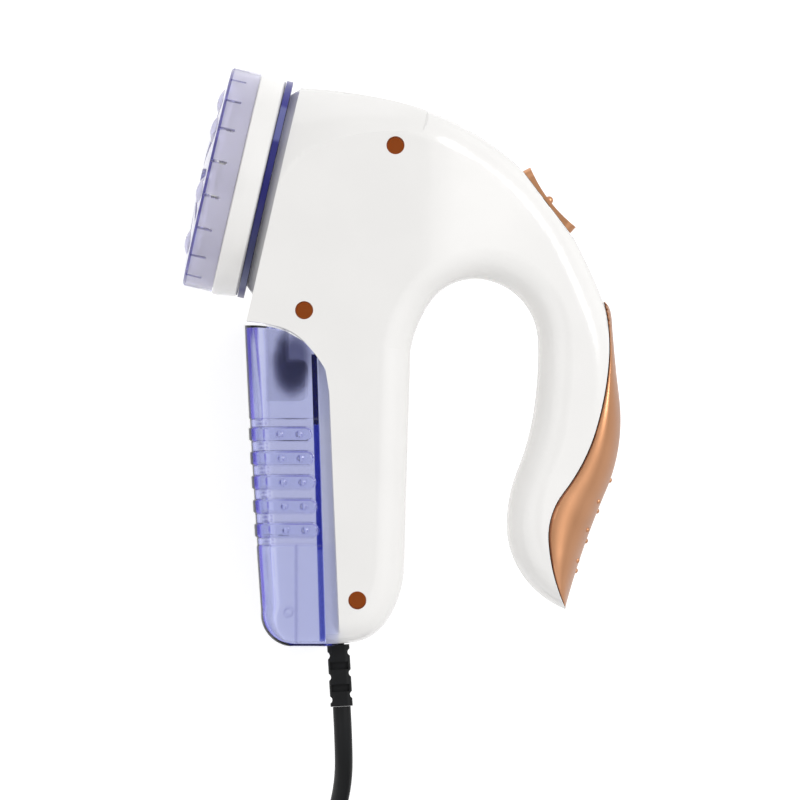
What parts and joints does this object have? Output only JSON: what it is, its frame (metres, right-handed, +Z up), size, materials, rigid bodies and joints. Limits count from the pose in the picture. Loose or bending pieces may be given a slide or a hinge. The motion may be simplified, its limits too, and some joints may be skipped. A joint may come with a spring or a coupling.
{
  "type": "fabric shaver",
  "caption": "Mains fabric shaver: round shaving head with clear height guard, curved open handle with slide switch and pull-off clear lint box.",
  "frame": {"origin": "centre of the footprint, at floor level, with the shaver lying on its side", "axes": "+Y from the cord end to the top of the head, +X from the shaving head to the handle, +Z up through the shaver's width"},
  "size_m": [0.1643, 0.3076, 0.0633],
  "materials": {
    "white_abs": "gloss warm white",
    "copper_paint": "metallic copper paint",
    "navy_plastic": "translucent navy gloss",
    "clear_lavender": "clear lavender plastic",
    "screw_bronze": "bronze-coloured screws",
    "smoke_plastic": "smoky dark plastic",
    "clear_violet": "clear blue-violet plastic",
    "pale_plastic": "satin",
    "steel_foil": "polished perforated foil",
    "steel_blade": "ground steel",
    "spring_steel": "bright steel",
    "motor_steel": "plated steel",
    "magnet": "ferrite",
    "bronze": "sintered bronze",
    "black_plastic": "satin black",
    "board_green": "solder mask",
    "component_brown": "moulded",
    "lead_red": "insulation",
    "lead_blue": "insulation",
    "black_rubber": "flexible vinyl",
    "pin_nickel": "nickel plated brass"
  },
  "bodies": {
    "housing": {"upper_housing": "white_abs", "lower_housing": "white_abs", "handle_grip": "copper_paint", "housing_screws": "screw_bronze", "slide_switch": "black_plastic", "lint_chamber": "smoke_plastic", "motor_can": "motor_steel", "front_bearing": "bronze", "motor_magnets": "magnet", "motor_end_cap": "black_plastic", "motor_mount": "pale_plastic", "motor_screws": "spring_steel", "circuit_board": "board_green", "board_components": "component_brown", "supply_leads": "lead_red", "motor_leads": "lead_red", "switch_leads": "lead_blue", "strain_relief": "black_rubber", "cord": "black_rubber", "cord_coil": "black_rubber", "plug_lead": "black_rubber", "plug_body": "black_plastic", "plug_pins": "pin_nickel"},
    "switch_button": {"slide_button": "copper_paint"},
    "adjuster": {"adjusting_ring": "navy_plastic"},
    "foil_head": {"foil_ring": "white_abs", "foil": "steel_foil", "foil_rim": "steel_foil"},
    "guard": {"height_guard": "clear_lavender"},
    "rotor": {"fan": "pale_plastic", "drive_spindle": "pale_plastic", "motor_shaft": "spring_steel", "armature": "motor_steel", "blade_spring": "spring_steel"},
    "blade_set": {"blade_carrier": "pale_plastic", "blades": "steel_blade"},
    "lint_bin": {"lint_box": "clear_violet"}
  },
  "joints": [
    {"name": "rotor_spin", "type": "hinge", "parent": "housing", "child": "rotor", "pos_m": [-0.03672, 0.0461, 0.0315], "axis": [-0.9744, 0.225, 0], "continuous": true},
    {"name": "blade_float", "type": "slide", "parent": "rotor", "child": "blade_set", "axis": [0.9744, -0.225, 0], "range_m": [0, 0.0006], "stiffness_N_per_m": 400, "deforming": ["blade_spring"]},
    {"name": "foil_ring_turn", "type": "hinge", "parent": "housing", "child": "foil_head", "pos_m": [-0.03672, 0.0461, 0.0315], "axis": [-0.9744, 0.225, 0], "range_deg": [-25, 0]},
    {"name": "adjuster_turn", "type": "hinge", "parent": "housing", "child": "adjuster", "pos_m": [-0.03672, 0.0461, 0.0315], "axis": [-0.9744, 0.225, 0], "range_deg": [0, 40]},
    {"name": "guard_rise", "type": "slide", "parent": "foil_head", "child": "guard", "axis": [-0.9744, 0.225, 0], "range_m": [0, 0.002]},
    {"name": "switch_slide", "type": "slide", "parent": "housing", "child": "switch_button", "axis": [-0.6062, 0.7953, 0], "range_m": [0, 0.004]},
    {"name": "lint_box_pull", "type": "slide", "parent": "housing", "child": "lint_bin", "axis": [0.0287, -0.9996, 0], "range_m": [0, 0.02]}
  ],
  "couplings": [
    {"joint": "guard_rise", "follows": "adjuster_turn", "m_per_rad": 0.0028648}
  ]
}
